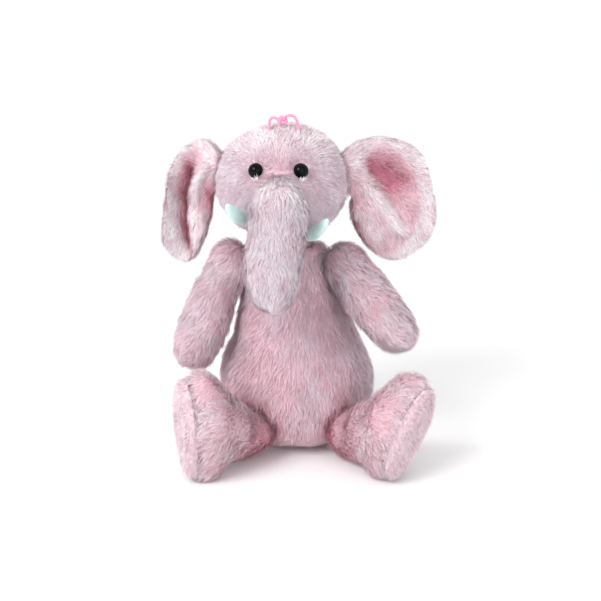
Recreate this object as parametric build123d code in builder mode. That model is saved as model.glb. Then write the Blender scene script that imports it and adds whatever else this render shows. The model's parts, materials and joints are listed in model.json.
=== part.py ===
from build123d import *
import math
import os

# A soft plush elephant that sits on its bottom with its legs out in front.
# Millimetres. +Z is up, the toy faces -Y, and its right side is at -X.
# The origin is on the floor, under the middle of the torso.

os.makedirs("parts", exist_ok=True)

# ---- fabric and fits -------------------------------------------------------
BODY_FABRIC = 7.0        # backing cloth and pressed pile on the torso and head
LIMB_FABRIC = 5.0        # the same on arms, legs and trunk
TAIL_FABRIC = 2.5
SEAM_GAP = 0.6           # room between a limb's round root and its hollow

# ---- torso -----------------------------------------------------------------
LEAN = 3.4               # degrees that the torso slumps towards its right
TORSO_BASE = 24.0        # radius of the flat it sits on
TORSO_BELLY = 63.5       # widest radius
TORSO_SHOULDER = 36.5
TORSO_HEIGHT = 171.0
POUCH_RADIUS = 38.0
POUCH_CLOTH = 1.5

# ---- head ------------------------------------------------------------------
HEAD_CENTRE = Vector(-15, -4, 222)
HEAD_RADIUS = 54.0       # half its width and depth
HEAD_RISE = 47.0         # half its height
NECK_CENTRE = Vector(-12, -3, 173)
NECK_RADIUS = 21.0
NECK_CORE = 16.0
NECK_BORE = 11.0

EYE_SPREAD = 17.5        # from the middle of the face to each eye
EYE_MIDDLE = -2.0        # the face looks a little to its right
EYE_LIFT = 14.5          # above the middle of the head
EYE_DIAMETER = 12.0
EYE_DOME = 4.8
SHANK_DIAMETER = 4.0
SHANK_LENGTH = 13.0
WASHER_DIAMETER = 15.0
WASHER_THICK = 1.6

# ---- trunk and tusks -------------------------------------------------------
TRUNK_ROOT = Vector(-16, -67, 207)
TRUNK_WAY = Vector(-7, -22, -73).normalized()
TRUNK_BALL = 22.0
TRUNK_LENGTH = 76.0
RIGHT_TUSK_ROOT = Vector(-40, -44, 199)
LEFT_TUSK_ROOT = Vector(0, -35, 184)
RIGHT_TUSK_LENGTH = 28.0
LEFT_TUSK_LENGTH = 38.0
TUSK_WIDE = 6.5          # half the width of the leaf
TUSK_THICK = 3.0         # half its thickness

# ---- ears ------------------------------------------------------------------
EAR_SEAM_TOP = Vector(51, 0, 28)      # from the middle of the head, left ear
EAR_SEAM_FOOT = Vector(59, 0, -14)
EAR_PANEL = 4.5          # thickness of the front and of the back panel
EAR_BATTING = 3.0
EAR_BEAD = 6.0           # radius of the rolled seam
EAR_GAP = 2.0            # room round the rolled seam in the head
EAR_SEAM_LENGTH = 40.0
LEFT_EAR_CUP = 110.0     # radius that the spread ear is cupped to
RIGHT_EAR_CUP = 36.0     # the folded ear is cupped much more
LEFT_EAR_SPREAD = 1.0
RIGHT_EAR_SPREAD = 0.6

# ---- arms ------------------------------------------------------------------
ARM_BALL = 17.0
RIGHT_ARM_LENGTH = 95.0
LEFT_ARM_LENGTH = 86.0
RIGHT_SHOULDER = Vector(-57, -13, 157)
LEFT_SHOULDER = Vector(35.5, -17, 156)
RIGHT_ARM_WAY = Vector(-0.39, -0.13, -0.91).normalized()
LEFT_ARM_WAY = Vector(0.54, -0.51, -0.65).normalized()

# ---- legs ------------------------------------------------------------------
LEG_BALL = 20.0
RIGHT_HIP = Vector(-42.5, -54, 24)
LEFT_HIP = Vector(42.5, -54, 24)
RIGHT_FOOT = Vector(-75, -91, 44)
LEFT_FOOT = Vector(73, -90, 43)
FOOT_HALF = 44.0         # half of the foot from heel to toe
FOOT_RADIUS = 26.0
RIGHT_TOE_WAY = Vector(-0.06, 0.05, 1).normalized()
LEFT_TOE_WAY = Vector(0.40, 0.05, 1).normalized()
RIGHT_SOLE_WAY = Vector(-0.94, -0.34, 0)
LEFT_SOLE_WAY = Vector(0.86, -0.50, 0)
SOLE_OFFSET = 12.0       # from the middle of the foot to the sole seam
SOLE_THICK = 4.0

# ---- tail ------------------------------------------------------------------
TAIL_ROOT = Vector(-2, 66, 40)
TAIL_WAY = Vector(0, 0.74, -0.67).normalized()
TAIL_BALL = 6.5
TAIL_LENGTH = 36.0
TUFT_RADIUS = 7.5
TUFT_HALF = 11.0

# ---- hang loop -------------------------------------------------------------
CORD_DIAMETER = 2.2
CORD_DEPTH = -24.0       # Y of the loop, just in front of the crown
CORD_ROUTE = [(-24, 261), (-25.5, 271.5), (-20.5, 275), (-15.5, 270),
              (-10.5, 276), (-4.5, 275.5), (-1.5, 268), (-2, 260)]
KNOT_RADIUS = 3.4


def export(solid, label):
    """Labels one finished piece and writes it as its own STEP file."""
    solid.label = label
    export_step(solid, f"parts/{label}.step")
    print(f"{label:24s} {solid.volume:12.1f} mm3")


def square_to(way, hint):
    """The direction nearest to hint that is at right angles to way."""
    return (hint - way * hint.dot(way)).normalized()


def side_plane(start, way, hint):
    """A plane through start whose Y runs along way and whose X leans to hint."""
    across = square_to(way, hint)
    return Plane(origin=start, x_dir=across, z_dir=across.cross(way))


def ball(centre, radius):
    """A plain ball."""
    with BuildPart() as form:
        with Locations(centre):
            Sphere(radius)
    return form.part


def stuffed_limb(plane, root, outline, length):
    """A round limb along the plane's Y: a ball for its root, then a smooth tube.

    outline holds (radius, distance) pairs after the root and before the tip.
    """
    with BuildPart() as form:
        with BuildSketch(plane):
            with BuildLine():
                CenterArc((0, 0), root, -90, 90)
                Spline((root, 0), *outline, (0, length), tangents=[(0, 1), (-1, 0)])
                Line((0, length), (0, -root))
            make_face()
        revolve(axis=Axis(plane.origin, plane.y_dir))
    return form.part


def egg(plane, radius, half_length):
    """An oval that is round about the plane's Y, drawn with three tangent arcs."""
    pole = radius**2 / half_length
    flank = (radius**2 + (half_length - pole) ** 2 - pole**2) / (2 * (radius - pole))
    turn = math.degrees(math.acos((radius - flank) / (pole - flank)))
    with BuildPart() as form:
        with BuildSketch(plane):
            with BuildLine():
                CenterArc((0, pole - half_length), pole, -90, 90 - turn)
                CenterArc((radius - flank, 0), flank, -turn, 2 * turn)
                CenterArc((0, half_length - pole), pole, turn, 90 - turn)
                Line((0, half_length), (0, -half_length))
            make_face()
        revolve(axis=Axis(plane.origin, plane.y_dir))
    return form.part


def capsule(plane, root, tip, length):
    """A cone with a ball at each end, along the plane's Y, for a thigh."""
    with BuildPart() as form:
        with BuildSketch(plane):
            with BuildLine():
                CenterArc((0, 0), root, -90, 90)
                Line((root, 0), (tip, length))
                CenterArc((0, length), tip, 0, 90)
                Line((0, length + tip), (0, -root))
            make_face()
        revolve(axis=Axis(plane.origin, plane.y_dir))
    return form.part


def pear(inset):
    """The torso, inset by a constant distance from its outer surface."""
    spine = Vector(0, 0, 1).rotate(Axis.Y, -LEAN)
    leaning = side_plane(Vector(0, 0, 0), spine, Vector(1, 0, 0))
    belly = TORSO_BELLY - inset
    shoulder = TORSO_SHOULDER - inset
    top = TORSO_HEIGHT - inset
    with BuildPart() as form:
        with BuildSketch(leaning):
            with BuildLine():
                Spline(
                    (TORSO_BASE, inset),
                    (belly - 17, inset + 7.5),
                    (belly - 4.5, 25),
                    (belly, 49),
                    (belly - 6.5, 80),
                    (shoulder + 8.0, 112),
                    (shoulder + 2.0, 136),
                    (shoulder - 0.5, 152 - inset / 2),
                    (shoulder - 5.5, top - 8),
                    (shoulder - 16, top),
                )
                Polyline((shoulder - 16, top), (0, top), (0, inset), (TORSO_BASE, inset))
            make_face()
        revolve(axis=Axis(leaning.origin, leaning.y_dir))
        split(bisect_by=Plane.XY.offset(inset), keep=Keep.TOP)
    return form.part


def head_egg(inset):
    """The head, inset by a constant distance."""
    plane = side_plane(HEAD_CENTRE, Vector(0, 0, 1), Vector(1, 0, 0))
    return egg(plane, HEAD_RADIUS - inset, HEAD_RISE - inset)


def ear_seam(side):
    """Where an ear's seam starts at the top, and the way that it runs down."""
    top = HEAD_CENTRE + Vector(side * EAR_SEAM_TOP.X, 0, EAR_SEAM_TOP.Z)
    foot = HEAD_CENTRE + Vector(side * EAR_SEAM_FOOT.X, 0, EAR_SEAM_FOOT.Z)
    return top, (foot - top).normalized()


def rod(start, way, radius, length):
    """A round rod."""
    with BuildPart() as form:
        with BuildSketch(Plane(origin=start, z_dir=way)):
            Circle(radius)
        extrude(amount=length)
    return form.part


def eye_plane(side):
    """The plane that an eye sits on, with its normal out of the head."""
    across = EYE_MIDDLE + side * EYE_SPREAD
    forward = HEAD_RADIUS * (1 - (EYE_LIFT / HEAD_RISE) ** 2 - (across / HEAD_RADIUS) ** 2) ** 0.5
    spot = Vector(across, -forward, EYE_LIFT)
    normal = Vector(spot.X / HEAD_RADIUS**2, spot.Y / HEAD_RADIUS**2, spot.Z / HEAD_RISE**2)
    return Plane(origin=HEAD_CENTRE + spot, z_dir=normal.normalized())


def cup_shell(middle, way, near, far):
    """The wall between two cylinders about the same line."""
    with BuildPart() as form:
        with BuildSketch(Plane(origin=middle - way * 20, z_dir=way)):
            Circle(far)
            Circle(near, mode=Mode.SUBTRACT)
        extrude(amount=160)
    return form.part


def ear_outline(side, spread):
    """The flat outline of an ear, extruded through the whole depth of the cup."""
    top, down = ear_seam(side)
    out = square_to(down, Vector(side, 0, 0))
    plane = Plane(origin=top, x_dir=out, z_dir=out.cross(down))
    width = 68 * spread
    with BuildPart() as form:
        with BuildSketch(plane):
            with BuildLine():
                Spline(
                    (0, 0),
                    (width * 0.48, -4),
                    (width * 0.92, 15),
                    (width, 48),
                    (width * 0.96, 78),
                    (width * 0.72, 100),
                    (width * 0.38, 106),
                    (width * 0.08, 88),
                    (0, EAR_SEAM_LENGTH),
                )
                Line((0, EAR_SEAM_LENGTH), (0, 0))
            make_face()
        extrude(amount=22, both=True)
    return form.part


def ear_layers(side, spread, cup):
    """The back panel, the batting and the front panel of one ear."""
    top, down = ear_seam(side)
    out = square_to(down, Vector(side, 0, 0))
    half_width = 34 * spread
    sag = (cup**2 - half_width**2) ** 0.5
    middle = top + out * half_width + Vector(0, -sag, 0)
    half_batting = EAR_BATTING / 2
    layers = {
        "back": (cup + half_batting, cup + half_batting + EAR_PANEL),
        "batting": (cup - half_batting, cup + half_batting),
        "front": (cup - half_batting - EAR_PANEL, cup - half_batting),
    }
    outline = ear_outline(side, spread)
    bead = rod(top + down * 2, down, EAR_BEAD, EAR_SEAM_LENGTH - 4)
    pieces = {}
    for name, (near, far) in layers.items():
        with BuildPart() as layer:
            add(cup_shell(middle, down, near, far))
            add(outline, mode=Mode.INTERSECT)
            add(bead, mode=Mode.ADD if name == "back" else Mode.SUBTRACT)
        pieces[name] = layer.part
    return pieces


def arm_forms(shoulder, way, length):
    """The outside of an arm and the stuffing inside it."""
    plane = side_plane(shoulder, way, Vector(0, -1, 0))
    outer_line = [(16.8, 12), (18, length - 58), (19.5, length - 30), (13.5, length - 6)]
    inner_line = [(11.8, 12), (13, length - 58), (14.5, length - 32), (9.5, length - 11)]
    outer = stuffed_limb(plane, ARM_BALL, outer_line, length)
    inner = stuffed_limb(plane, ARM_BALL - LIMB_FABRIC, inner_line, length - LIMB_FABRIC)
    return outer, inner


def leg_forms(hip, foot, toe_way, sole_hint, inset):
    """The thigh and the foot of a leg, joined, and the plane of its sole seam."""
    ankle = foot - Vector(0, 0, 15)
    reach = ankle - hip
    thigh_plane = side_plane(hip, reach.normalized(), Vector(0, 0, 1))
    root = LEG_BALL - inset
    thigh = capsule(thigh_plane, root, root + 0.5, reach.length)
    sole_way = square_to(toe_way, sole_hint)
    foot_plane = side_plane(foot, toe_way, sole_way)
    foot_egg = egg(foot_plane, FOOT_RADIUS - inset, FOOT_HALF - inset)
    seam = Plane(origin=foot + sole_way * (SOLE_OFFSET - inset), z_dir=sole_way)
    with BuildPart() as form:
        add(thigh)
        add(foot_egg)
        split(bisect_by=seam, keep=Keep.BOTTOM)
    return form.part, foot_egg, sole_way


def sole_pad(foot, foot_egg, sole_way):
    """The sole, a slice of the foot's egg between two parallel planes."""
    near = Plane(origin=foot + sole_way * SOLE_OFFSET, z_dir=sole_way)
    with BuildPart() as form:
        add(foot_egg)
        split(bisect_by=near, keep=Keep.TOP)
        split(bisect_by=near.offset(SOLE_THICK), keep=Keep.BOTTOM)
    return form.part


def tusk_form(root, way, length):
    """A flat stuffed leaf: narrow at the root, round at the tip, bent upwards."""
    widths = [(0, 0.6), (0.35, 0.95), (0.65, 1.0), (0.86, 0.78), (0.96, 0.48), (1.0, 0.2)]
    with BuildPart() as form:
        for share, scale_of in widths:
            rise = Vector(0, 0, 0.42 * length) * share**2
            spot = root + way * (length * share) + rise
            with BuildSketch(Plane(origin=spot, x_dir=(0, 0, 1), z_dir=way)):
                Ellipse(TUSK_WIDE * scale_of, TUSK_THICK * scale_of)
        loft()
    return form.part


# ---- hang loop -------------------------------------------------------------
def corner_radii(route):
    """Each corner's radius: 0.45 of its shorter run over the tangent of half its turn."""
    radii = []
    for before, here, after in zip(route, route[1:], route[2:]):
        arriving = Vector(here[0] - before[0], here[1] - before[1])
        leaving = Vector(after[0] - here[0], after[1] - here[1])
        turn = arriving.get_angle(leaving)
        half_tangent = Vector(1, 0).rotate(Axis.Z, turn / 2)
        radii.append(0.45 * min(arriving.length, leaving.length) * half_tangent.X / half_tangent.Y)
    return radii


loop_radii = corner_radii(CORD_ROUTE)
print("hang loop radii:", [round(radius, 2) for radius in loop_radii])
loop_plane = Plane(origin=(0, CORD_DEPTH, 0), x_dir=(1, 0, 0), z_dir=(0, -1, 0))
with BuildLine(loop_plane) as loop_path:
    FilletPolyline(*CORD_ROUTE, radius=loop_radii)
loop_wire = loop_path.wires()[0]
with BuildPart() as hang_loop:
    with BuildSketch(Plane(loop_wire @ 0, z_dir=loop_wire % 0)):
        Circle(CORD_DIAMETER / 2)
    sweep(path=loop_wire)
print("hang loop length:", round(loop_wire.length, 2))

knot_spot = loop_wire @ 0.47
with BuildPart() as hang_loop_knot:
    with Locations(knot_spot):
        Sphere(KNOT_RADIUS)

# ---- joint roots: where each limb turns in the body that carries it ---------
torso_roots = [
    (NECK_CENTRE, NECK_RADIUS),
    (RIGHT_SHOULDER, ARM_BALL),
    (LEFT_SHOULDER, ARM_BALL),
    (RIGHT_SHOULDER + RIGHT_ARM_WAY * 11, ARM_BALL + 0.6),
    (RIGHT_SHOULDER + RIGHT_ARM_WAY * 22, ARM_BALL + 1),
    (LEFT_SHOULDER + LEFT_ARM_WAY * 11, ARM_BALL + 0.6),
    (RIGHT_HIP, LEG_BALL),
    (LEFT_HIP, LEG_BALL),
    (TAIL_ROOT, TAIL_BALL),
]
head_roots = [
    (NECK_CENTRE, NECK_RADIUS),
    (TRUNK_ROOT, TRUNK_BALL),
    (TRUNK_ROOT + TRUNK_WAY * 10, TRUNK_BALL),
    (TRUNK_ROOT + TRUNK_WAY * 20, TRUNK_BALL),
]

# ---- torso -----------------------------------------------------------------
with BuildPart() as torso_core:
    add(pear(BODY_FABRIC))
    for centre, radius in torso_roots:
        add(ball(centre, radius + SEAM_GAP + LIMB_FABRIC), mode=Mode.SUBTRACT)

with BuildPart() as torso_skin:
    add(pear(0))
    add(torso_core.part, mode=Mode.SUBTRACT)
    for centre, radius in torso_roots:
        add(ball(centre, radius + SEAM_GAP), mode=Mode.SUBTRACT)

pouch_plane = side_plane(Vector(0, 4, 30), Vector(0, 0, 1), Vector(1, 0, 0))
pouch_bag = egg(pouch_plane, POUCH_RADIUS, 20)
pouch_fill = egg(pouch_plane, POUCH_RADIUS - POUCH_CLOTH, 20 - POUCH_CLOTH)
with BuildPart() as torso_stuffing:
    add(torso_core.part)
    add(pouch_bag, mode=Mode.SUBTRACT)
with BuildPart() as pellet_pouch:
    add(pouch_bag)
    add(pouch_fill, mode=Mode.SUBTRACT)
with BuildPart() as pellets:
    add(pouch_fill)

# ---- neck ------------------------------------------------------------------
with BuildPart() as neck_core:
    add(ball(NECK_CENTRE, NECK_RADIUS))
    add(rod(NECK_CENTRE - Vector(0, 0, 30), Vector(0, 0, 1), NECK_BORE, 60), mode=Mode.INTERSECT)
    add(ball(NECK_CENTRE, NECK_CORE))
with BuildPart() as neck_skin:
    add(ball(NECK_CENTRE, NECK_RADIUS))
    add(neck_core.part, mode=Mode.SUBTRACT)

# ---- tusks -----------------------------------------------------------------
right_tusk = tusk_form(RIGHT_TUSK_ROOT, Vector(-0.6, -0.8, 0), RIGHT_TUSK_LENGTH)
left_tusk = tusk_form(LEFT_TUSK_ROOT, Vector(0.56, -0.83, 0).normalized(), LEFT_TUSK_LENGTH)

# ---- head ------------------------------------------------------------------
eye_forms = {}
washer_forms = {}
for name, side in (("right", -1), ("left", 1)):
    seat = eye_plane(side)
    dome_ball = (EYE_DIAMETER**2 / 4 + EYE_DOME**2) / (2 * EYE_DOME)
    with BuildPart() as eye:
        add(ball(seat.origin + seat.z_dir * (EYE_DOME - dome_ball), dome_ball))
        split(bisect_by=seat, keep=Keep.TOP)
        add(rod(seat.origin, seat.z_dir * -1, SHANK_DIAMETER / 2, SHANK_LENGTH))
    with BuildPart() as washer:
        add(rod(seat.origin - seat.z_dir * (BODY_FABRIC + 0.8), seat.z_dir * -1,
                WASHER_DIAMETER / 2, WASHER_THICK))
        add(eye.part, mode=Mode.SUBTRACT)
    eye_forms[name] = eye.part
    washer_forms[name] = washer.part

with BuildPart() as head_core:
    add(head_egg(BODY_FABRIC))
    for centre, radius in head_roots:
        add(ball(centre, radius + SEAM_GAP + LIMB_FABRIC), mode=Mode.SUBTRACT)
    for side in (-1, 1):
        top, down = ear_seam(side)
        groove = rod(top - down * 3, down, EAR_BEAD + EAR_GAP + LIMB_FABRIC, EAR_SEAM_LENGTH + 6)
        add(groove, mode=Mode.SUBTRACT)

with BuildPart() as head_skin:
    add(head_egg(0))
    add(head_core.part, mode=Mode.SUBTRACT)
    for centre, radius in head_roots:
        add(ball(centre, radius + SEAM_GAP), mode=Mode.SUBTRACT)
    for side in (-1, 1):
        top, down = ear_seam(side)
        groove = rod(top - down, down, EAR_BEAD + EAR_GAP, EAR_SEAM_LENGTH + 2)
        add(groove, mode=Mode.SUBTRACT)
    for buried in (right_tusk, left_tusk, hang_loop.part, *eye_forms.values()):
        add(buried, mode=Mode.SUBTRACT)

with BuildPart() as head_stuffing:
    add(head_core.part)
    for buried in (right_tusk, left_tusk, *eye_forms.values(), *washer_forms.values()):
        add(buried, mode=Mode.SUBTRACT)

# ---- trunk -----------------------------------------------------------------
trunk_plane = side_plane(TRUNK_ROOT, TRUNK_WAY, Vector(0, -1, 0))
trunk_outer = stuffed_limb(trunk_plane, TRUNK_BALL, [(21.3, 14), (20.8, 38), (18.2, 60)], TRUNK_LENGTH)
trunk_inner = stuffed_limb(
    trunk_plane,
    TRUNK_BALL - LIMB_FABRIC,
    [(16.3, 14), (15.8, 37), (13.2, 58)],
    TRUNK_LENGTH - LIMB_FABRIC,
)
with BuildPart() as trunk_skin:
    add(trunk_outer)
    add(trunk_inner, mode=Mode.SUBTRACT)

# ---- tail ------------------------------------------------------------------
tail_plane = side_plane(TAIL_ROOT, TAIL_WAY, Vector(0, 1, 0))
tail_cloth = stuffed_limb(tail_plane, TAIL_BALL, [(5.4, 14), (4.6, 28)], TAIL_LENGTH)
tuft_plane = side_plane(TAIL_ROOT + TAIL_WAY * TAIL_LENGTH, TAIL_WAY, Vector(0, 1, 0))
with BuildPart() as tail_tuft:
    add(egg(tuft_plane, TUFT_RADIUS, TUFT_HALF))
    add(tail_cloth, mode=Mode.SUBTRACT)

# ---- write the pieces ------------------------------------------------------
export(torso_skin.part, "torso_skin")
export(torso_stuffing.part, "torso_stuffing")
export(pellet_pouch.part, "pellet_pouch")
export(pellets.part, "pellets")
export(neck_skin.part, "neck_skin")
export(neck_core.part, "neck_stuffing")
export(head_skin.part, "head_skin")
export(head_stuffing.part, "head_stuffing")
export(trunk_skin.part, "trunk_skin")
export(trunk_inner, "trunk_stuffing")
export(right_tusk, "right_tusk")
export(left_tusk, "left_tusk")
export(hang_loop.part, "hang_loop")
export(hang_loop_knot.part, "hang_loop_knot")
export(tail_cloth, "tail_skin")
export(tail_tuft.part, "tail_tuft")

for name in ("right", "left"):
    export(eye_forms[name], f"{name}_eye")
    export(washer_forms[name], f"{name}_eye_washer")

ears = (("right", -1, RIGHT_EAR_SPREAD, RIGHT_EAR_CUP), ("left", 1, LEFT_EAR_SPREAD, LEFT_EAR_CUP))
for name, side, spread, cup in ears:
    for layer_name, layer_part in ear_layers(side, spread, cup).items():
        export(layer_part, f"{name}_ear_{layer_name}")

arms = (
    ("right", RIGHT_SHOULDER, RIGHT_ARM_WAY, RIGHT_ARM_LENGTH),
    ("left", LEFT_SHOULDER, LEFT_ARM_WAY, LEFT_ARM_LENGTH),
)
for name, shoulder, way, length in arms:
    arm_outer, arm_inner = arm_forms(shoulder, way, length)
    with BuildPart() as arm_skin:
        add(arm_outer)
        add(arm_inner, mode=Mode.SUBTRACT)
    export(arm_skin.part, f"{name}_arm_skin")
    export(arm_inner, f"{name}_arm_stuffing")

legs = (
    ("right", RIGHT_HIP, RIGHT_FOOT, RIGHT_TOE_WAY, RIGHT_SOLE_WAY),
    ("left", LEFT_HIP, LEFT_FOOT, LEFT_TOE_WAY, LEFT_SOLE_WAY),
)
for name, hip, foot, toe_way, sole_hint in legs:
    leg_outer, foot_outer, sole_way = leg_forms(hip, foot, toe_way, sole_hint, 0)
    leg_inner = leg_forms(hip, foot, toe_way, sole_hint, LIMB_FABRIC)[0]
    with BuildPart() as leg_skin:
        add(leg_outer)
        add(leg_inner, mode=Mode.SUBTRACT)
    export(leg_skin.part, f"{name}_leg_skin")
    export(leg_inner, f"{name}_leg_stuffing")
    export(sole_pad(foot, foot_outer, sole_way), f"{name}_sole")
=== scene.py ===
import json
import math

import bmesh
import bpy
import numpy as np
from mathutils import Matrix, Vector
from mathutils.kdtree import KDTree


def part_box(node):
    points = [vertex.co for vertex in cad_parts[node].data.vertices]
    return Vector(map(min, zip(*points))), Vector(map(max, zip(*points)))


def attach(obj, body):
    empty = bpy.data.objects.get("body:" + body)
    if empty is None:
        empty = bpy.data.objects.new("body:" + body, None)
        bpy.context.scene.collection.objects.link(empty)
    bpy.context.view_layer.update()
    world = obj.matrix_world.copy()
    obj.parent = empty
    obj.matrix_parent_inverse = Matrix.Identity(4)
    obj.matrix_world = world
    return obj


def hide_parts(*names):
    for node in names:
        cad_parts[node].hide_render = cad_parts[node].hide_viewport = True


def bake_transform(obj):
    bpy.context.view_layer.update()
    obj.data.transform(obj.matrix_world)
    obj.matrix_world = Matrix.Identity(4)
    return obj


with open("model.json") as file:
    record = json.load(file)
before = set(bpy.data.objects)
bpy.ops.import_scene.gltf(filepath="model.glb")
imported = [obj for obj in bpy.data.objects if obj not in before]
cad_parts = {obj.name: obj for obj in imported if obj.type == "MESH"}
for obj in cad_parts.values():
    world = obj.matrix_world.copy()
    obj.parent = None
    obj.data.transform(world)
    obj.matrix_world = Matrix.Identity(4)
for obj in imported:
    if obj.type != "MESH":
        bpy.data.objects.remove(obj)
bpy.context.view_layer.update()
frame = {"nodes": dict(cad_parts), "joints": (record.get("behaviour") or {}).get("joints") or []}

MM = 0.001
X_WAY = np.array((1.0, 0.0, 0.0))
UP = np.array((0.0, 0.0, 1.0))
DOWN = -UP
FRONT = np.array((0.0, -1.0, 0.0))
SIDES = ("right", "left")


# ---- places taken from the frame -------------------------------------------
def joint_point(name):
    """Where a joint turns, in metres."""
    joint = next(j for j in frame["joints"] if j["name"] == name)
    return np.array(joint["pos_m"], float)


def node_points(name):
    """All the vertices of a CAD node."""
    mesh = frame["nodes"][name].data
    points = np.zeros(len(mesh.vertices) * 3, np.float32)
    mesh.vertices.foreach_get("co", points)
    return points.reshape(-1, 3).astype(float)


def far_point(name, start):
    """The node's point that is furthest from start."""
    points = node_points(name)
    return points[np.argmax(np.linalg.norm(points - start, axis=1))]


def box_of(name):
    """A node's middle and half size."""
    low, high = (np.array(corner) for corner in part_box(name))
    return (low + high) / 2, (high - low) / 2


def unit(vectors):
    """Vectors of length one."""
    length = np.linalg.norm(vectors, axis=-1, keepdims=True)
    return vectors / np.maximum(length, 1e-12)


def smooth_step(value, low, high):
    """0 below low, 1 above high, and a smooth rise between them."""
    share = np.clip((value - low) / (high - low), 0, 1)
    return share * share * (3 - 2 * share)


def bump(value, middle, width):
    """A soft hill of height 1."""
    return np.exp(-(((value - middle) / width) ** 2))


def mottle(points, scale, seed):
    """A smooth field from -1 to 1 made of a few waves in random directions."""
    rng = np.random.default_rng(seed)
    total = np.zeros(len(points))
    for _ in range(7):
        way = unit(rng.normal(size=3))
        total += np.sin(points @ way * (2 * math.pi / scale) * rng.uniform(0.6, 1.5) + rng.uniform(0, 6.3))
    return np.clip(total / 3.2, -1, 1)


# ---- materials -------------------------------------------------------------
def linear(red, green, blue):
    """An 8-bit display colour as a linear one."""
    def channel(value):
        value /= 255
        return value / 12.92 if value <= 0.04045 else ((value + 0.055) / 1.055) ** 2.4
    return (channel(red), channel(green), channel(blue), 1.0)


# Display colours from white to rose, once clean and once greyed.
CLEAN_PILE = ((253, 249, 251), (251, 236, 240), (249, 220, 228), (244, 197, 209), (234, 152, 170))
GREY_PILE = ((226, 220, 227), (223, 209, 217), (220, 194, 204), (212, 170, 183), (196, 122, 138))
ROSY_STEPS = len(CLEAN_PILE)
# Brightness of the painted shade levels: darker and lighter copies of each pile colour.
SHADES = (0.84, 0.92, 1.0)
# Rose mixed into the darker painted shade levels, for the rosy shade deep in the pile.
PAINTED_SHADE_ROSE = np.array((206, 112, 138), float)


def shader(material):
    return material.node_tree.nodes["Principled BSDF"]


def new_material(name, colour, roughness):
    material = bpy.data.materials.new(name)
    material.use_nodes = True
    shader(material).inputs["Base Color"].default_value = colour
    shader(material).inputs["Roughness"].default_value = roughness
    return material


def pile_palette():
    """The strand materials: every colour at every level of painted shade, the darker painted shade a little
    rosier.
    """
    palette = []
    for family, colours in (("clean", CLEAN_PILE), ("grey", GREY_PILE)):
        for step, rgb in enumerate(colours):
            for level, shade in enumerate(SHADES):
                rose = 0.22 * (1 - shade) / (1 - SHADES[0])
                mixed = np.array(rgb, float) * (1 - rose) + PAINTED_SHADE_ROSE * rose
                material = new_material(f"pile_{family}_{step}_{level}", linear(*(mixed * shade**0.6)), 0.72)
                shader(material).inputs["Sheen Weight"].default_value = 0.2
                shader(material).inputs["Sheen Roughness"].default_value = 0.5
                shader(material).inputs["Specular IOR Level"].default_value = 0.2
                palette.append(material)
    return palette


PILE = pile_palette()


def add_node(material, kind, **settings):
    node = material.node_tree.nodes.new(kind)
    for key, value in settings.items():
        setattr(node, key, value)
    return node


def noise_into(material, scale, detail=3.0):
    """A noise texture in object space."""
    place = add_node(material, "ShaderNodeTexCoord")
    texture = add_node(material, "ShaderNodeTexNoise")
    texture.inputs["Scale"].default_value = scale
    texture.inputs["Detail"].default_value = detail
    material.node_tree.links.new(place.outputs["Object"], texture.inputs["Vector"])
    return texture


def ramp_into(material, source, stops):
    """A colour ramp fed by a factor."""
    ramp = add_node(material, "ShaderNodeValToRGB")
    material.node_tree.links.new(source, ramp.inputs["Fac"])
    elements = ramp.color_ramp.elements
    while len(elements) < len(stops):
        elements.new(0.5)
    for element, (position, colour) in zip(elements, stops):
        element.position = position
        element.color = colour
    return ramp


def bump_into(material, source, strength, distance):
    """Surface relief from a height."""
    relief = add_node(material, "ShaderNodeBump")
    relief.inputs["Strength"].default_value = strength
    relief.inputs["Distance"].default_value = distance
    links = material.node_tree.links
    links.new(source, relief.inputs["Height"])
    links.new(relief.outputs["Normal"], shader(material).inputs["Normal"])


def cloth_material(name, dark, light):
    """Knitted backing with the pressed pile of that colour on it."""
    material = new_material(name, linear(*light), 0.9)
    links = material.node_tree.links
    patches = noise_into(material, 60.0)
    ramp = ramp_into(material, patches.outputs["Fac"], [(0.35, linear(*dark)), (0.65, linear(*light))])
    links.new(ramp.outputs["Color"], shader(material).inputs["Base Color"])
    fibres = noise_into(material, 900.0)
    bump_into(material, fibres.outputs["Fac"], 0.6, 0.4 * MM)
    shader(material).inputs["Sheen Weight"].default_value = 0.3
    return material


def felt_material():
    """Smooth brushed felt of the tusks, pale mint."""
    material = new_material("tusk_felt", linear(205, 236, 230), 0.85)
    links = material.node_tree.links
    shade = noise_into(material, 140.0)
    stops = [(0.3, linear(194, 228, 222)), (0.7, linear(214, 242, 237))]
    ramp = ramp_into(material, shade.outputs["Fac"], stops)
    links.new(ramp.outputs["Color"], shader(material).inputs["Base Color"])
    fibres = noise_into(material, 1600.0, 5.0)
    bump_into(material, fibres.outputs["Fac"], 0.35, 0.15 * MM)
    shader(material).inputs["Sheen Weight"].default_value = 0.4
    return material


def eye_material():
    """Polished black plastic with the faintest moulding haze."""
    material = new_material("eye_gloss", linear(3, 4, 6), 0.06)
    links = material.node_tree.links
    haze = noise_into(material, 300.0)
    stops = [(0.4, (0.04, 0.04, 0.04, 1)), (0.6, (0.09, 0.09, 0.09, 1))]
    ramp = ramp_into(material, haze.outputs["Fac"], stops)
    links.new(ramp.outputs["Color"], shader(material).inputs["Roughness"])
    shader(material).inputs["Specular IOR Level"].default_value = 0.12
    return material


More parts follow.
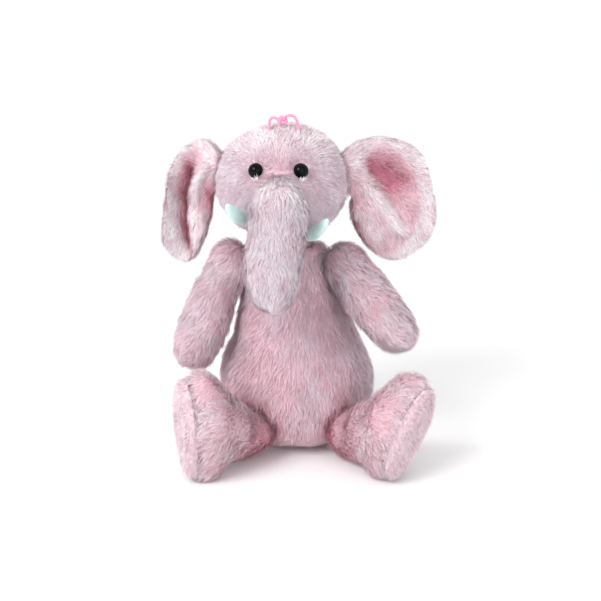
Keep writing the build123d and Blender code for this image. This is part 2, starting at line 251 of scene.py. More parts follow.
def cord_material():
    """Satin rat-tail cord, pink."""
    material = new_material("hang_cord", linear(238, 118, 166), 0.45)
    links = material.node_tree.links
    place = add_node(material, "ShaderNodeTexCoord")
    strands = add_node(material, "ShaderNodeTexWave", wave_type="BANDS", bands_direction="DIAGONAL")
    strands.inputs["Scale"].default_value = 900.0
    strands.inputs["Distortion"].default_value = 1.5
    links.new(place.outputs["Object"], strands.inputs["Vector"])
    stops = [(0.2, linear(226, 118, 160)), (0.8, linear(250, 172, 204))]
    ramp = ramp_into(material, strands.outputs["Fac"], stops)
    links.new(ramp.outputs["Color"], shader(material).inputs["Base Color"])
    bump_into(material, strands.outputs["Fac"], 0.5, 0.15 * MM)
    shader(material).inputs["Sheen Weight"].default_value = 0.3
    return material


BACKING_PINK = cloth_material("backing_pink", (222, 164, 182), (240, 200, 212))
BACKING_PALE = cloth_material("backing_pale", (222, 192, 206), (240, 220, 228))
BACKING_EAR = cloth_material("backing_ear", (224, 150, 168), (242, 190, 204))
FELT = felt_material()
EYE = eye_material()
CORD = cord_material()
WASHER = new_material("washer_nylon", linear(236, 236, 232), 0.5)


# ---- mesh helpers ----------------------------------------------------------
def link(obj):
    bpy.context.scene.collection.objects.link(obj)
    return obj


def mesh_object(name, verts, faces, materials):
    """A mesh object from an array of points and arrays of faces, all of one length each."""
    mesh = bpy.data.meshes.new(name)
    loops = np.concatenate([group.ravel() for group in faces]).astype(np.int32)
    sizes = np.concatenate([np.full(len(group), group.shape[1]) for group in faces])
    starts = np.concatenate([[0], np.cumsum(sizes)[:-1]]).astype(np.int32)
    mesh.vertices.add(len(verts))
    mesh.vertices.foreach_set("co", np.asarray(verts, np.float32).ravel())
    mesh.loops.add(len(loops))
    mesh.loops.foreach_set("vertex_index", loops)
    mesh.polygons.add(len(sizes))
    mesh.polygons.foreach_set("loop_start", starts)
    mesh.polygons.foreach_set("use_smooth", np.ones(len(sizes), bool))
    mesh.update(calc_edges=True)
    for material in materials:
        mesh.materials.append(material)
    return link(bpy.data.objects.new(name, mesh))


def grid_faces(rows, columns, wrap):
    """Quads over a grid of points stored row by row, closed round its columns if wrap is set."""
    across = columns if wrap else columns - 1
    row, column = np.meshgrid(np.arange(rows - 1), np.arange(across), indexing="ij")
    right = (column + 1) % columns
    quads = np.stack([
        row * columns + column,
        row * columns + right,
        (row + 1) * columns + right,
        (row + 1) * columns + column,
    ], axis=-1)
    return quads.reshape(-1, 4)


def tube(name, path, radius, material, sides, side_hint):
    """An open-ended round tube along a path."""
    tangent = unit(np.gradient(path, axis=0))
    across = unit(side_hint - tangent * (tangent @ side_hint)[:, None])
    depth = np.cross(tangent, across)
    turn = np.linspace(0, 2 * math.pi, sides, endpoint=False)
    ring = np.cos(turn)[None, :, None] * across[:, None, :]
    ring = ring + np.sin(turn)[None, :, None] * depth[:, None, :]
    verts = path[:, None, :] + radius * ring
    faces = grid_faces(len(path), sides, True)[:, ::-1]
    return mesh_object(name, verts.reshape(-1, 3), [faces], [material])


def points_of(obj):
    """An object's vertices."""
    mesh = obj.data
    points = np.zeros(len(mesh.vertices) * 3, np.float32)
    mesh.vertices.foreach_get("co", points)
    return points.reshape(-1, 3).astype(float)


def set_points(obj, points):
    obj.data.vertices.foreach_set("co", np.asarray(points, np.float32).ravel())
    obj.data.update()


def vertex_normals(obj):
    mesh = obj.data
    normals = np.zeros(len(mesh.vertices) * 3, np.float32)
    mesh.vertex_normals.foreach_get("vector", normals)
    return normals.reshape(-1, 3).astype(float)


def apply_modifiers(obj):
    """Bakes the object's modifiers into its mesh."""
    evaluated = obj.evaluated_get(bpy.context.evaluated_depsgraph_get())
    mesh = bpy.data.meshes.new_from_object(evaluated)
    obj.modifiers.clear()
    obj.data = mesh
    mesh.polygons.foreach_set("use_smooth", np.ones(len(mesh.polygons), bool))
    return obj


# ---- the pile --------------------------------------------------------------
BLADE_WIDTH = 0.13 * MM      # half the width of a strand at its widest
BLADE_WIDTHS = (0.7, 1.25)   # how much narrower and wider strands get
LENGTHS = (0.68, 1.18)       # how much shorter and longer strands get
STRAY_SPREAD = 0.22          # radians that single strands turn away from the comb
TILT_SPREAD = 9              # degrees that single strands and patches tilt
CLUMP_PULL = 0.4             # how far tips are drawn to their clump's tip
TINT_SPREAD = 0.42           # steps of rose between neighbours
SHADE_SPREAD = 0.3           # steps of shade between neighbours
# Shade steps for each strand's root half and tip: painted shade deep in the pile, painted light at the tips.
ROOT_AND_TIP_SHADE = (-0.45, 0.35)
THIN = 1.0


def surface_samples(base, count, rng):
    """Random points on a mesh, evenly by area, with their smooth normals."""
    mesh = base.data
    mesh.calc_loop_triangles()
    corners = np.zeros(len(mesh.loop_triangles) * 3, np.int32)
    mesh.loop_triangles.foreach_get("vertices", corners)
    corners = corners.reshape(-1, 3)
    points, normals = points_of(base), vertex_normals(base)
    a, b, c = (points[corners[:, k]] for k in range(3))
    area = np.linalg.norm(np.cross(b - a, c - a), axis=1)
    chosen = rng.choice(len(corners), count, p=area / area.sum())
    u, v = rng.random(count), rng.random(count)
    flip = u + v > 1
    u[flip], v[flip] = 1 - u[flip], 1 - v[flip]
    weights = np.stack([1 - u - v, u, v], axis=1)
    spot = np.einsum("ij,ijk->ik", weights, points[corners[chosen]])
    normal = unit(np.einsum("ij,ijk->ik", weights, normals[corners[chosen]]))
    return spot, normal


def pile(name, base, density, length, comb, tint, shade, seed,
         lean=64.0, clump=1.8, stray=0.38, keep=None):
    """A fur piece: tapered ribbons that grow from a base mesh.

    density is strands per square millimetre, length is in millimetres or a function of the
    roots, comb gives the direction that the pile is brushed in, tint how rosy (0 to 4) and how
    grey (0 to 1) it is, shade the mean level of painted shade from 0 to 2, lean the degrees from upright,
    clump the millimetres between clumps, stray how patches turn, and keep says which roots grow.
    """
    rng = np.random.default_rng(seed)
    area = sum(polygon.area for polygon in base.data.polygons) / MM**2
    root, normal = surface_samples(base, int(area * density), rng)
    if keep is not None:
        grows = keep(root, normal) > rng.random(len(root))
        root, normal = root[grows], normal[grows]
    count = len(root)

    brushed = comb(root, normal)
    brushed = unit(brushed - normal * np.sum(brushed * normal, axis=1, keepdims=True))
    aside = np.cross(normal, brushed)
    swing = (rng.normal(size=count) * STRAY_SPREAD + mottle(root, 19 * MM, seed + 5) * stray)[:, None]
    brushed = brushed * np.cos(swing) + aside * np.sin(swing)
    uneven = rng.normal(size=count) * TILT_SPREAD + mottle(root, 13 * MM, seed + 9) * TILT_SPREAD
    tilt = np.radians(lean + uneven)
    tilt = np.clip(tilt, 0.1, 1.45)[:, None]
    reach = length(root) if callable(length) else np.full(count, float(length))
    reach = (reach * MM * rng.uniform(*LENGTHS, count))[:, None]
    tip = root + reach * (brushed * np.sin(tilt) + normal * np.cos(tilt))

    centre_count = max(8, int(area / clump**2))
    centres = rng.choice(count, min(centre_count, count), replace=False)
    tree = KDTree(len(centres))
    for index, centre in enumerate(centres):
        tree.insert(root[centre], index)
    tree.balance()
    nearest = centres[np.array([tree.find(spot)[1] for spot in root])]
    strength = CLUMP_PULL * rng.uniform(0.5, 1.0, (count, 1))
    tip = tip * (1 - strength) + tip[nearest] * strength
    bend = root + normal * reach * 0.42 + brushed * reach * 0.12

    steps = (0.0, 0.5, 1.0)
    taper = (0.8, 1.0, 0.0)
    line = [(1 - t) ** 2 * root + 2 * t * (1 - t) * bend + t * t * tip for t in steps]
    run = unit(tip - root)
    flat = unit(np.cross(run, normal))
    lift = np.cross(run, flat)
    roll = (rng.uniform(-0.9, 0.9, count))[:, None]
    flat = flat * np.cos(roll) + lift * np.sin(roll)
    half = (BLADE_WIDTH * rng.uniform(*BLADE_WIDTHS, count))[:, None]
    rows = []
    for spot, share in zip(line[:-1], taper[:-1]):
        rows += [spot - flat * half * share, spot + flat * half * share]
    rows.append(line[-1])
    verts = np.stack(rows, axis=1).reshape(-1, 3)
    verts[:, 2] = np.maximum(verts[:, 2], 0.2 * MM)
    start = np.arange(count)[:, None] * 5
    lower = start + np.array([[0, 1, 3, 2]])
    point = start + np.array([[2, 3, 4]])

    rosy, grey = tint(root, normal)
    rosy = np.clip(np.round(rosy + rng.normal(size=count) * TINT_SPREAD), 0, ROSY_STEPS - 1).astype(int)
    greyed = (rng.random(count) < grey).astype(int)
    level = shade(root, normal) + rng.normal(size=count) * SHADE_SPREAD
    first_slot = (greyed * ROSY_STEPS + rosy) * len(SHADES)
    slots = []
    # The root half takes a darker painted shade and the tip a lighter one.
    for step in ROOT_AND_TIP_SHADE:
        slots.append(first_slot + np.clip(np.round(level + step), 0, len(SHADES) - 1).astype(int))

    fur = mesh_object(name, verts, [lower, point], PILE)
    fur.data.polygons.foreach_set("material_index", np.concatenate(slots).astype(np.int32))
    facing = unit(normal * 0.85 + unit(np.cross(flat, run)) * 0.35)
    per_vertex = np.repeat(facing, 5, axis=0)
    fur.data.normals_split_custom_set_from_vertices(per_vertex.tolist())
    return fur


def even_tint(rosy, grey):
    """The same colour everywhere."""
    return lambda root, normal: (rosy, grey)


def even_shade(level, scale=14 * MM, seed=3, swing=0.35):
    """A mean shade with soft patches."""
    return lambda root, normal: level + swing * mottle(root, scale, seed)


def toward(way):
    """A comb that brushes everything one way."""
    return lambda root, normal: np.zeros_like(root) + way


# ---- forms drawn from the frame --------------------------------------------
def outer_shell(obj):
    """Keeps the outermost of a quad mesh's separate shells, without the hollow inside it."""
    mesh = obj.data
    points = points_of(obj)
    loops = np.zeros(len(mesh.loops), np.int32)
    mesh.loops.foreach_get("vertex_index", loops)
    quads = loops.reshape(-1, 4)
    label = np.arange(len(points))
    while True:
        low = label[quads].min(axis=1)
        joined = label.copy()
        for corner in range(4):
            np.minimum.at(joined, quads[:, corner], low)
        joined = joined[joined]
        if np.array_equal(joined, label):
            break
        label = joined
    kept = label == label[np.argmax(points[:, 2])]
    number = np.cumsum(kept) - 1
    materials = list(mesh.materials)
    name = obj.name
    bpy.data.objects.remove(obj)
    return mesh_object(name, points[kept], [number[quads[kept[quads[:, 0]]]]], materials)


def form(name, nodes, material, voxel, inset, lumps, seed, rounds=8, sculpt=None, plumps=()):
    """A stuffed skin: the outside of CAD nodes, softened, a little lumpy, drawn in under its pile.

    voxel, inset and lumps are in millimetres, and plumps are the middles and radii of balls of
    stuffing that fill out a hollow.
    """
    verts, faces, offset = [], [], 0
    for middle, radius in plumps:
        ball = bmesh.new()
        bmesh.ops.create_icosphere(ball, subdivisions=4, radius=radius)
        verts.append(np.array([vertex.co for vertex in ball.verts]) + middle)
        ball.verts.index_update()
        faces.append(np.array([[vertex.index for vertex in face.verts] for face in ball.faces]) + offset)
        offset += len(verts[-1])
        ball.free()
    for node in nodes:
        mesh = frame["nodes"][node].data
        mesh.calc_loop_triangles()
        corners = np.zeros(len(mesh.loop_triangles) * 3, np.int32)
        mesh.loop_triangles.foreach_get("vertices", corners)
        verts.append(node_points(node))
        faces.append(corners.reshape(-1, 3) + offset)
        offset += len(verts[-1])
    whole = mesh_object(name, np.vstack(verts), [np.vstack(faces)], [material])
    remesh = whole.modifiers.new("remesh", "REMESH")
    remesh.mode = "VOXEL"
    remesh.voxel_size = voxel * MM
    apply_modifiers(whole)
    whole = outer_shell(whole)
    whole.data.materials.clear()
    whole.data.materials.append(material)
    smooth = whole.modifiers.new("smooth", "SMOOTH")
    smooth.factor = 0.6
    smooth.iterations = rounds
    apply_modifiers(whole)
    points, normals = points_of(whole), vertex_normals(whole)
    swell = (lumps * mottle(points, 42 * MM, seed) - inset) * MM
    points = points + normals * swell[:, None]
    if sculpt is not None:
        points = sculpt(points, normals)
    set_points(whole, points)
    return whole


def dress(pieces, nodes, rides=None, blends=None):
    """Hides the CAD nodes that the pieces stand for; each piece either rides its body's empty or, where it
    blends between two bodies, has its place baked into its mesh.
    """
    for obj in pieces:
        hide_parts(*nodes)
        if blends is not None:
            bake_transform(obj)
        else:
            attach(obj, rides)


right_eye = box_of("right_eye")[0]
left_eye = box_of("left_eye")[0]
head_middle, head_half = box_of("head_skin")
trunk_root = joint_point("trunk_lift")
trunk_tip = far_point("trunk_skin", trunk_root)
EYE_RADIUS = 6.0 * MM


# ---- torso -----------------------------------------------------------------
torso_middle, torso_half = box_of("torso_skin")
torso_cloth = form("torso_cloth", ["torso_skin"], BACKING_PINK, voxel=3.0, inset=2.2, lumps=1.6, seed=2)


def torso_comb(root, normal):
    side = (root[:, :1] - torso_middle[0]) / torso_half[0]
    return DOWN + X_WAY * (0.30 * side - 0.15) + FRONT * 0.05


def hip_crease_shade(root):
    """1 in the creases between the torso and the thighs, which are painted rosier as crease shade."""
    near = np.zeros(len(root))
    for side in SIDES:
        hip = joint_point(f"{side}_leg_splay")
        near = np.maximum(near, 1 - smooth_step(np.linalg.norm(root - hip, axis=1), 20 * MM, 36 * MM))
    return near


def torso_tint(root, normal):
    # side runs from the key light's side (-1) to the far side (1), which is painted greyer and less rosy:
    # painted shade.
    side = (root[:, 0] - torso_middle[0]) / torso_half[0]
    patch = mottle(root, 42 * MM, 11)
    low = smooth_step(-(root[:, 2] - torso_middle[2]) / torso_half[2], 0.1, 0.9)
    # Rosier in the hip creases: painted shade.
    rosy = 1.7 - 0.4 * side + 0.4 * patch + 0.5 * low + 1.5 * hip_crease_shade(root)
    return rosy, 0.85 + 0.15 * side - 0.2 * patch - 0.25 * low


def torso_length(root):
    """Shorter where the toy sits on it."""
    return 4.0 + 5.5 * smooth_step(root[:, 2], 4 * MM, 30 * MM)


torso_pile = pile("torso_pile", torso_cloth, 1.25 * THIN, torso_length, torso_comb, torso_tint,
                  even_shade(1.35), 21, lean=68)
dress([torso_cloth, torso_pile], ["torso_skin", "torso_stuffing", "pellet_pouch", "pellets"],
      rides="torso")

neck_cloth = form("neck_cloth", ["neck_skin"], BACKING_PINK, voxel=2.0, inset=1.0, lumps=0.3, seed=3)
# The neck's pile, under the head, gets the darkest mean level: painted shade.
neck_pile = pile("neck_pile", neck_cloth, 0.8 * THIN, 7, torso_comb, torso_tint, even_shade(0.8), 22)
dress([neck_cloth, neck_pile], ["neck_skin", "neck_stuffing"], rides="neck")


# ---- head ------------------------------------------------------------------
def head_sculpt(points, normals):
    """Presses the eyes' sockets in, and raises the bridge between them over the trunk's root."""
    bridge = trunk_root + UP * 20 * MM
    away = (points - bridge) / np.array((17 * MM, 30 * MM, 9 * MM))
    change = 6.5 * np.exp(-np.sum(away**2, axis=1))
    for eye in (right_eye, left_eye):
        reach = np.linalg.norm((points - eye)[:, [0, 2]], axis=1)
        front = points[:, 1] < head_middle[1]
        change -= 2.2 * bump(reach, 0, 9 * MM) * front
    return points + normals * (change * MM)[:, None]


head_cloth = form("head_cloth", ["head_skin"], BACKING_PALE, voxel=2.6, inset=2.2, lumps=1.0, seed=4,
                  sculpt=head_sculpt)


def near_eyes(root, radius):
    """1 close to an eye and 0 far from both."""
    near = np.zeros(len(root))
    for eye in (right_eye, left_eye):
        near = np.maximum(near, bump(np.linalg.norm(root - eye, axis=1), 0, radius))
    return near


def on_bridge(root):
    """1 on the bridge between the eyes, where the pile runs down on to the trunk."""
    across = bump(root[:, 0], trunk_root[0], 17 * MM)
    return across * (1 - smooth_step(root[:, 2], trunk_root[2] + 22 * MM, trunk_root[2] + 32 * MM))


def head_comb(root, normal):
    face = trunk_root + UP * 26 * MM
    away = unit(root - face)
    down = (on_bridge(root) * (root[:, 1] < head_middle[1]))[:, None]
    way = away * (1 - down) + DOWN * (0.35 + 1.2 * down)
    for eye in (right_eye, left_eye):
        apart = root - eye
        reach = np.linalg.norm(apart, axis=1)
        way = way + unit(apart) * (2.4 * bump(reach, 0, 11 * MM))[:, None]
    return way


def head_tint(root, normal):
    height = (root[:, 2] - head_middle[2]) / head_half[2]
    between = bump(root[:, 0], (right_eye[0] + left_eye[0]) / 2, 13 * MM)
    between = between * bump(root[:, 2], right_eye[2], 12 * MM) * (root[:, 1] < head_middle[1])
    # The crown is painted paler and cleaner: painted light on the top of the head.
    crown = smooth_step(height, 0.35, 0.8)
    patch = mottle(root, 34 * MM, 14)
    rosy = 0.65 + 0.4 * patch - 0.4 * crown + 2.0 * between
    # The pile round the eyes is painted greyer: painted shade.
    grey = 1.0 - 0.75 * crown - 0.4 * between + 0.15 * patch + near_eyes(root, 9 * MM)
    return rosy, grey


def head_shade(root, normal):
    # Darker round the eyes: painted shade in their sockets.
    return 1.1 + 0.35 * mottle(root, 16 * MM, 12) - 1.8 * near_eyes(root, 10 * MM)


def head_grow(root, normal):
    clear = np.ones(len(root))
    for eye in (right_eye, left_eye):
        clear = np.minimum(clear, np.linalg.norm((root - eye)[:, [0, 2]], axis=1) > EYE_RADIUS * 0.8)
    return np.where(root[:, 1] < head_middle[1], clear, 1.0)


def head_length(root):
    return 6.8 - 2.4 * near_eyes(root, 14 * MM)


head_pile = pile("head_pile", head_cloth, 2.1 * THIN, head_length, head_comb, head_tint, head_shade,
                 23, lean=67, stray=0.3, keep=head_grow)


def tuft_keep(root, normal):
    """Only the few roots just under each eye."""
    near = np.zeros(len(root))
    for eye in (right_eye, left_eye):
        spot = eye + DOWN * 7.0 * MM + FRONT * 1.0 * MM
        near = np.maximum(near, np.linalg.norm((root - spot)[:, [0, 2]], axis=1) < 2.6 * MM)
    return near * (root[:, 1] < head_middle[1])


eye_tufts = pile("eye_tufts", head_cloth, 3.2 * THIN, 6.5, toward(UP),
                 even_tint(0.0, 0.1), even_shade(2.0), 27, lean=38, stray=0.2, keep=tuft_keep)
dress([head_cloth, head_pile, eye_tufts], ["head_skin", "head_stuffing"], rides="head")


# ---- trunk -----------------------------------------------------------------
trunk_cloth = form("trunk_cloth", ["trunk_skin"], BACKING_PALE, voxel=2.0, inset=1.8, lumps=1.2, seed=5,
                   plumps=[(trunk_root + UP * 9 * MM, 19 * MM)])
trunk_way = unit(trunk_tip - trunk_root)


def trunk_comb(root, normal):
    across = (root[:, 0] - (trunk_root + trunk_tip)[0] / 2)[:, None] / (20 * MM)
    return trunk_way + X_WAY * across * 0.45 + FRONT * 0.5


def trunk_share(root):
    """0 at the trunk's root and 1 at its tip."""
    return np.clip((root - trunk_root) @ trunk_way / np.linalg.norm(trunk_tip - trunk_root), -0.3, 1)


def trunk_tint(root, normal):
    share = trunk_share(root)
    ridge = bump(share, -0.2, 0.12)
    end = smooth_step(share, 0.7, 1.0)
    patch = mottle(root, 20 * MM, 13)
    return 0.75 + 0.5 * patch - 0.5 * ridge - 0.4 * end, 0.9 - 0.7 * ridge - 0.25 * end - 0.15 * patch


trunk_pile = pile("trunk_pile", trunk_cloth, 3.0 * THIN, 7.5, trunk_comb, trunk_tint,
                  even_shade(1.4, 12 * MM, 4), 24, lean=62)
dress([trunk_cloth, trunk_pile], ["trunk_skin", "trunk_stuffing"],
      blends=("head", "trunk", trunk_root - trunk_way * 14 * MM, trunk_root + trunk_way * 10 * MM))


# ---- ears ------------------------------------------------------------------
def near_line(across, tall, route, width):
    """1 on a line through the points of route and 0 far from it, in an ear's own measures."""
    nearest = np.full(len(across), 9.0)
    for (u0, v0), (u1, v1) in zip(route, route[1:]):
        run = np.array((u1 - u0, v1 - v0))
        share = np.clip(((across - u0) * run[0] + (tall - v0) * run[1]) / (run @ run), 0, 1)
        gap = np.hypot(across - u0 - share * run[0], tall - v0 - share * run[1])
        nearest = np.minimum(nearest, gap)
    return bump(nearest, 0, width)


EAR_FOLDS = {
    "left": {
        "pocket": ([(0.30, 0.52), (0.55, 0.36)], 0.20),
        "ridge": ([(0.08, 0.60), (0.30, 0.15), (0.50, -0.18), (0.68, -0.48)], 0.095),
        "lobe": ([(0.22, -0.22), (0.36, -0.55)], 0.16),
        "crease": ([(0.12, -0.30), (0.16, -0.85)], 0.07),
    },
    "right": {
        "pocket": ([(0.55, 0.52), (0.68, 0.20), (0.72, -0.30), (0.66, -0.65)], 0.13),
        "ridge": ([(0.22, 0.58), (0.40, 0.38), (0.50, 0.05), (0.48, -0.40), (0.44, -0.80)], 0.11),
        "lobe": ([(0.34, -0.10), (0.34, -0.50)], 0.08),
        "crease": ([(0.12, 0.20), (0.14, -0.30), (0.20, -0.85)], 0.10),
    },
}
EAR_WIDTH = {"left": 68 * MM, "right": 41 * MM}
RIM_ROOM = 5.0 * MM          # the pile at the rim stands this far out


def ear(side):
    """An ear of two panels: a fold ridge, a deep pocket beside it, and a furry rim."""
    outward = 1.0 if side == "left" else -1.0
    nodes = [f"{side}_ear_{layer}" for layer in ("front", "batting", "back")]
    middle, half = box_of(f"{side}_ear_back")
    seam = joint_point(f"{side}_ear_flap")[0] + outward * 2 * MM
    width = EAR_WIDTH[side]
    folds = EAR_FOLDS[side]

    def share(points):
        across = (points[:, 0] - seam) * outward / (width - RIM_ROOM)
        return across, (points[:, 2] - middle[2]) / (half[2] - RIM_ROOM)

    def fold(name, points):
        across, tall = share(points)
        return near_line(across, tall, *folds[name])

    def rim(points):
        across, tall = share(points)
        return np.clip(np.hypot((across - 0.45) / 0.55, tall), 0, 1.2)

    def sculpt(points, normals):
        beyond = np.maximum((points[:, 0] - seam) * outward, 0)
        points[:, 0] = points[:, 0] - outward * beyond * RIM_ROOM / width
        points[:, 2] = middle[2] + (points[:, 2] - middle[2]) * (1 - RIM_ROOM / half[2])
        depth = 6.5 * fold("ridge", points) - 7.0 * fold("pocket", points)
        depth = depth + 3.5 * fold("lobe", points) - 5.0 * fold("crease", points)
        inner = 1 - smooth_step(rim(points), 0.82, 1.05)
        wave = 1.6 * mottle(points, 36 * MM, 31)
        return points + FRONT * ((depth * inner + wave) * MM)[:, None]

    cloth = form(f"{side}_ear_cloth", nodes, BACKING_EAR, voxel=2.0, inset=1.2, lumps=0.4, seed=6,
                 rounds=4, sculpt=sculpt)
    hub = np.array((seam - outward * 6 * MM, middle[1], middle[2] + 0.45 * half[2]))

    def comb(root, normal):
        return unit(root - hub) + DOWN * 0.25

    def front_tint(root, normal):
        pocket, ridge, lobe, crease = (fold(name, root) for name in folds)
        edge = smooth_step(rim(root), 0.76, 0.94)
        # The ridge, lobe and rim are painted paler: partly their pale pile, partly painted light on the
        # raised folds.
        pale = np.maximum(np.maximum(ridge, 0.6 * lobe), edge)
        # The pocket and crease are painted rosier and greyer: partly the ear's rose lining, partly painted
        # shade in those hollows.
        deep = np.maximum(pocket, 0.8 * crease) * (1 - edge)
        patch = mottle(root, 24 * MM, 8)
        rosy = 2.4 + 0.4 * patch - 2.3 * pale + 2.4 * deep
        return rosy, 0.3 + 0.3 * deep + 0.1 * patch

    def front_shade(root, normal):
        # Darker in the pocket and crease, painted shade in the hollows, and lighter on the ridge, painted
        # light on the raised fold.
        deep = fold("pocket", root) + 0.6 * fold("crease", root)
        return 1.3 + 0.3 * mottle(root, 13 * MM, 7) - 1.1 * deep + 0.4 * fold("ridge", root)

    def pile_length(root):
        return 7.0 - 1.5 * smooth_step(rim(root), 0.8, 1.0)

    front = pile(f"{side}_ear_front_pile", cloth, 3.0 * THIN, pile_length, comb, front_tint,
                 front_shade, 25, keep=lambda root, normal: smooth_step(-normal[:, 1], -0.35, -0.05))
    back = pile(f"{side}_ear_back_pile", cloth, 2.4 * THIN, pile_length, comb,
                even_tint(0.8, 0.4), even_shade(1.5), 26,
                keep=lambda root, normal: smooth_step(normal[:, 1], -0.15, 0.15))
    dress([cloth, front], nodes, rides=f"{side}_ear")
    dress([back], [f"{side}_ear_back"], rides=f"{side}_ear")


ear("right")
ear("left")


# ---- arms ------------------------------------------------------------------
def arm(side, seed):
    root_point = joint_point(f"{side}_arm_swing")
    tip = far_point(f"{side}_arm_skin", root_point)
    way = unit(tip - root_point)
    outward = X_WAY if side == "left" else -X_WAY
    cloth = form(f"{side}_arm_cloth", [f"{side}_arm_skin"], BACKING_PINK, voxel=2.2, inset=2.2,
                 lumps=1.4, seed=seed)

    def comb(root, normal):
        return way + outward * 0.35 + DOWN * 0.1

    def tint(root, normal):
        patch = mottle(root, 30 * MM, seed + 3)
        return 1.4 + 0.6 * patch, 0.7 - 0.2 * patch

    fur = pile(f"{side}_arm_pile", cloth, 2.6 * THIN, 9.0, comb, tint,
               even_shade(1.15, seed=seed), seed + 40, lean=62)
    dress([cloth, fur], [f"{side}_arm_skin", f"{side}_arm_stuffing"],
          blends=("torso", f"{side}_arm", root_point - way * 14 * MM, root_point + way * 12 * MM))


arm("right", 7)
arm("left", 8)


# ---- legs ------------------------------------------------------------------
def leg(side, seed):
    root_point = joint_point(f"{side}_leg_splay")
    foot = box_of(f"{side}_sole")[0]
    way = unit(foot - root_point)
    outward = X_WAY if side == "left" else -X_WAY
    plumps = []
    for share, radius in ((0.40, 25 * MM), (0.52, 26 * MM), (0.64, 26 * MM)):
        middle = root_point + (foot - root_point) * share + FRONT * 5 * MM + UP * 3 * MM
        radius = min(radius, (1 - share) * np.linalg.norm(foot - root_point) - 2 * MM)
        middle[2] = max(middle[2], radius + 1 * MM)
        plumps.append((middle, radius))
    cloth = form(f"{side}_leg_cloth", [f"{side}_leg_skin"], BACKING_PINK, voxel=2.6, inset=2.2,
                 lumps=1.6, seed=seed, plumps=plumps)

    def comb(root, normal):
        along = np.clip((root - root_point) @ way / np.linalg.norm(foot - root_point), 0, 1)[:, None]
        return way * (1 - along) * 1.4 + (outward * 0.8 + DOWN * 0.6) * along + outward * 0.2

    def tint(root, normal):
        patch = mottle(root, 26 * MM, seed + 3)
        # Rosier in the hip creases: painted shade.
        return 1.4 + 0.5 * patch + 1.6 * hip_crease_shade(root), 0.45 - 0.2 * patch

    fur = pile(f"{side}_leg_pile", cloth, 1.9 * THIN, 7.5, comb, tint, even_shade(1.5, seed=seed), seed + 50,
               lean=60)
    dress([cloth, fur], [f"{side}_leg_skin", f"{side}_leg_stuffing"],
          blends=("torso", f"{side}_leg", root_point - way * 4 * MM, root_point + way * 26 * MM))

    pad = form(f"{side}_sole_cloth", [f"{side}_sole"], BACKING_PALE, voxel=1.6, inset=-1.3, lumps=0.2,
               seed=seed, rounds=2)
    short = pile(f"{side}_sole_pile", pad, 2.2 * THIN, 5, toward(DOWN + outward * 0.4),
                 even_tint(1.5, 0.4), even_shade(1.4), seed + 60, lean=50)
    dress([pad, short], [f"{side}_sole"], rides=f"{side}_leg")


leg("right", 9)
leg("left", 10)


# ---- tail ------------------------------------------------------------------
tail_root = joint_point("tail_wag")
tail_way = unit(far_point("tail_tuft", tail_root) - tail_root)
tail_cloth = form("tail_cloth", ["tail_skin"], BACKING_PINK, voxel=1.2, inset=0.8, lumps=0.2,
                  seed=12, rounds=3)
tail_pile = pile("tail_pile", tail_cloth, 1.2 * THIN, 7, toward(tail_way), even_tint(1.3, 0.4),
                 even_shade(1.4), 71)
dress([tail_cloth, tail_pile], ["tail_skin"], rides="tail")
tuft_cloth = form("tail_tuft_cloth", ["tail_tuft"], BACKING_PALE, voxel=1.2, inset=1.5, lumps=0.2,
                  seed=13, rounds=3)
tuft_pile = pile("tail_tuft_pile", tuft_cloth, 2.0 * THIN, 13, toward(tail_way),
                 even_tint(0.6, 0.2), even_shade(1.6), 72, lean=70)
dress([tuft_cloth, tuft_pile], ["tail_tuft"], rides="tail")


# ---- eyes ------------------------------------------------------------------
for side in SIDES:
    for node, material in ((f"{side}_eye", EYE), (f"{side}_eye_washer", WASHER)):
        turned = frame["nodes"][node]
        turned.data.materials.clear()
        turned.data.materials.append(material)


# ---- tusks -----------------------------------------------------------------
def tusk(side):
    """A smooth felt leaf, the CAD shape a little softened."""
    node = f"{side}_tusk"
    leaf = form(f"{side}_tusk_felt", [node], FELT, voxel=0.9, inset=0.0, lumps=0.15, seed=14, rounds=3)
    dress([leaf], [node], rides="head")


tusk("right")
tusk("left")


# ---- hang loop -------------------------------------------------------------
LOOP_Y = -24.0
LOOP_ROUTE = [
    (-24, 261), (-25.5, 271.5), (-20.5, 275), (-15.5, 270),
    (-10.5, 276), (-4.5, 275.5), (-1.5, 268), (-2, 260),
]
LOOP_DIAMETER = 2.2 * MM
loop_curve = bpy.data.curves.new("hang_loop_cord", "CURVE")
loop_curve.dimensions = "3D"
loop_curve.bevel_depth = LOOP_DIAMETER / 2
loop_curve.bevel_resolution = 6
loop_curve.resolution_u = 12
loop_spline = loop_curve.splines.new("NURBS")
loop_spline.points.add(len(LOOP_ROUTE) - 1)
for control, (x, z) in zip(loop_spline.points, LOOP_ROUTE):
    control.co = (x * MM, LOOP_Y * MM, z * MM, 1)
loop_spline.order_u = 3
loop_spline.use_endpoint_u = True
loop_curve.use_fill_caps = True
loop_curve.materials.append(CORD)
hang_loop = link(bpy.data.objects.new("hang_loop_cord", loop_curve))
dress([hang_loop], ["hang_loop"], rides="head")

knot_middle, knot_half = box_of("hang_loop_knot")


def torus_knot():
    """A strand wound three times through a ring, as a small overhand knot."""
    turn = np.linspace(0, 2 * math.pi, 90)
    radius = knot_half[0] * 0.62
    wind = radius * (1 + 0.32 * np.cos(3 * turn))
    return np.stack([
        wind * np.cos(2 * turn),
        radius * 0.55 * np.sin(3 * turn),
        wind * np.sin(2 * turn),
    ], axis=1) + knot_middle


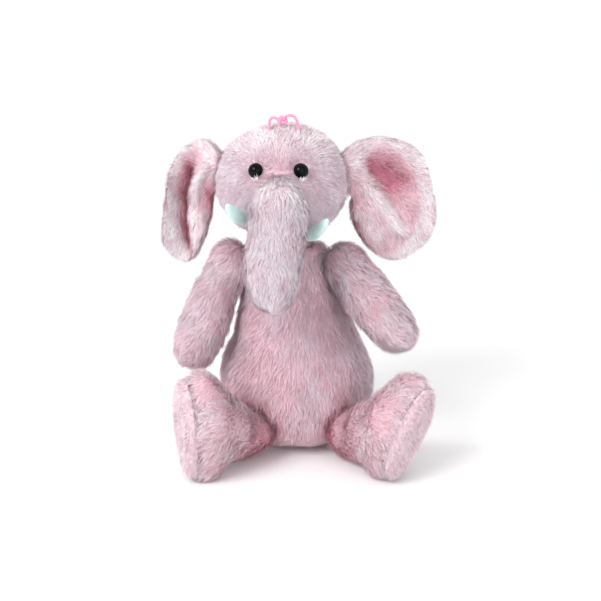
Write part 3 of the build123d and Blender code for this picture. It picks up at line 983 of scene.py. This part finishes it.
knot = tube("hang_loop_knot_cord", torus_knot(), LOOP_DIAMETER * 0.48, CORD, sides=12,
            side_hint=-FRONT)
dress([knot], ["hang_loop_knot"], rides="head")


# ---- stage, camera and light -----------------------------------------------
def white_material(name, colour):
    material = new_material(name, colour, 0.9)
    shader(material).inputs["Specular IOR Level"].default_value = 0.1
    return material


def cove():
    """A floor that curves up into a backdrop."""
    turn = np.linspace(0, math.pi / 2, 24)
    radius = 0.6
    profile = [(-3.0, 0.0)]
    profile += [(1.6 + radius * math.sin(a), radius * (1 - math.cos(a))) for a in turn]
    profile += [(1.6 + radius, 3.5)]
    verts = np.array([(x, y, z) for y, z in profile for x in (-4.0, 4.0)])
    paper = white_material("paper", (0.95, 0.95, 0.955, 1))
    return mesh_object("studio_cove", verts, [grid_faces(len(profile), 2, False)], [paper])


floor = cove()

CAMERA_TARGET = Vector((0.0, 0.0, 0.1197))
CAMERA_DISTANCE = 0.892
CAMERA_ELEVATION = math.radians(15)
camera_data = bpy.data.cameras.new("camera")
camera_data.lens = 63.6
camera_data.sensor_width = 36
camera_data.clip_start = 0.01
camera = link(bpy.data.objects.new("camera", camera_data))
away = Vector((0, -math.cos(CAMERA_ELEVATION), math.sin(CAMERA_ELEVATION)))
camera.location = CAMERA_TARGET + away * CAMERA_DISTANCE
camera.rotation_euler = (-away).to_track_quat("-Z", "Y").to_euler()
bpy.context.scene.camera = camera


def area_light(name, place, size, power):
    data = bpy.data.lights.new(name, "AREA")
    data.shape = "DISK"
    data.size = size
    data.energy = power
    lamp = link(bpy.data.objects.new(name, data))
    lamp.location = place
    lamp.rotation_euler = (CAMERA_TARGET - Vector(place)).to_track_quat("-Z", "Y").to_euler()
    return lamp


area_light("key", (-0.9, -1.1, 1.2), 0.9, 19)
area_light("fill", (0.6, -1.4, 0.35), 1.4, 5)
world = bpy.data.worlds.new("studio")
world.use_nodes = True
world.node_tree.nodes["Background"].inputs["Color"].default_value = (1.0, 1.0, 1.0, 1)
world.node_tree.nodes["Background"].inputs["Strength"].default_value = 0.95
bpy.context.scene.world = world
bpy.context.scene.view_settings.view_transform = "Standard"
